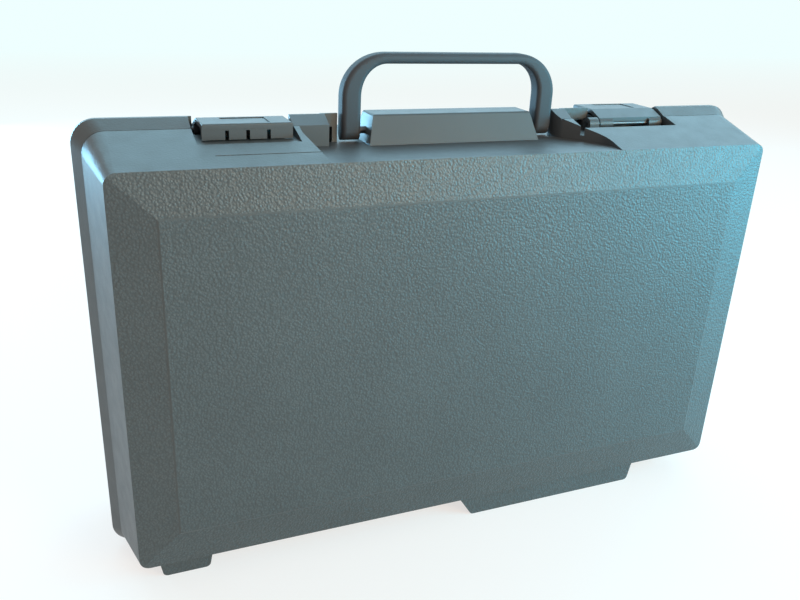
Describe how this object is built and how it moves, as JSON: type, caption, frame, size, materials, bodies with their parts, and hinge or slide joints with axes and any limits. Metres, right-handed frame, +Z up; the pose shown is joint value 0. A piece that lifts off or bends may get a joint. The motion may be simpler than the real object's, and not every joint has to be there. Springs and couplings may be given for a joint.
{
  "type": "hard tool case",
  "caption": "Hard-shell carrying case standing on moulded feet: two drafted halves hinged along the bottom, a folding bail handle and snap latches on top.",
  "frame": {"origin": "centre of the bounding box on the ground, under the middle of the closed case standing on its feet", "axes": "+X along the case, -Y towards the front half's face, +Z up towards the handle"},
  "size_m": [0.4234, 0.113, 0.2955],
  "materials": {
    "case_plastic": "pebble-grained moulded plastic, charcoal black",
    "handle_plastic": "smooth satin moulded plastic, black",
    "latch_plastic": "smooth satin moulded plastic, black",
    "steel": "drawn steel wire"
  },
  "bodies": {
    "root": {"front_shell": "case_plastic", "hinge_rod_left": "steel", "hinge_rod_right": "steel", "handle_pin_left": "steel", "handle_pin_right": "steel", "latch_pin_right": "steel"},
    "lid": {"back_shell": "case_plastic", "latch_pin_left": "steel"},
    "handle": {"handle": "handle_plastic"},
    "latch_left": {"latch_left": "latch_plastic"},
    "latch_right": {"latch_right": "latch_plastic"}
  },
  "joints": [
    {"name": "lid_hinge", "type": "hinge", "parent": "root", "child": "lid", "pos_m": [0, 0, 0.0052], "axis": [-1, 0, 0], "range_deg": [0, 180]},
    {"name": "handle_fold", "type": "hinge", "parent": "root", "child": "handle", "pos_m": [0, 0, 0.2525], "axis": [1, 0, 0], "range_deg": [-90, 90]},
    {"name": "latch_left_lift", "type": "hinge", "parent": "lid", "child": "latch_left", "pos_m": [-0.125, 0.0085, 0.2536], "axis": [-1, 0, 0], "range_deg": [0, 95]},
    {"name": "latch_right_lift", "type": "hinge", "parent": "root", "child": "latch_right", "pos_m": [0.125, -0.0085, 0.2536], "axis": [1, 0, 0], "range_deg": [0, 95]}
  ]
}
